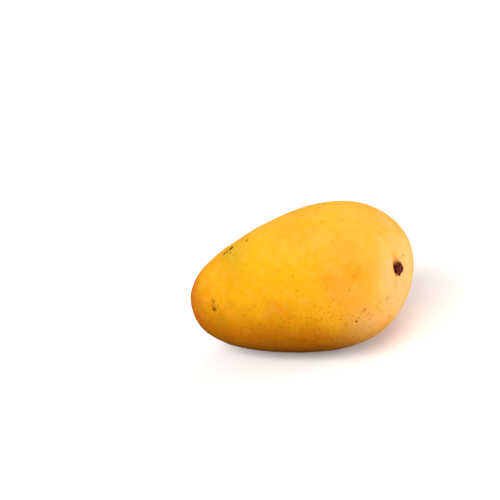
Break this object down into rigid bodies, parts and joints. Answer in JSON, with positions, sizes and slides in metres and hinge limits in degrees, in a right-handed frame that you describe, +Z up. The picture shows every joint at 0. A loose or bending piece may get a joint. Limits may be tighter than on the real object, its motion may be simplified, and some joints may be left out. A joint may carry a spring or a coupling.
{
  "type": "mango",
  "caption": "Ripe golden mango: an oblique, egg-shaped tropical fruit with a dark stalk scar in a shallow dimple, lying on its cheek on a small flat spot.",
  "frame": {"origin": "centre of the bounding box in X and Y, on the surface that the fruit rests on", "axes": "+X from the apex to the stalk end, +Y from the ventral side to the dorsal side, +Z up, through the cheeks"},
  "size_m": [0.1064, 0.0798, 0.0696],
  "materials": {
    "mango_skin": null,
    "dried_stalk": "matt, rough, dark reddish-brown dried stalk"
  },
  "bodies": {
    "root": {"fruit": "mango_skin", "stalk_stub": "dried_stalk"}
  },
  "joints": []
}
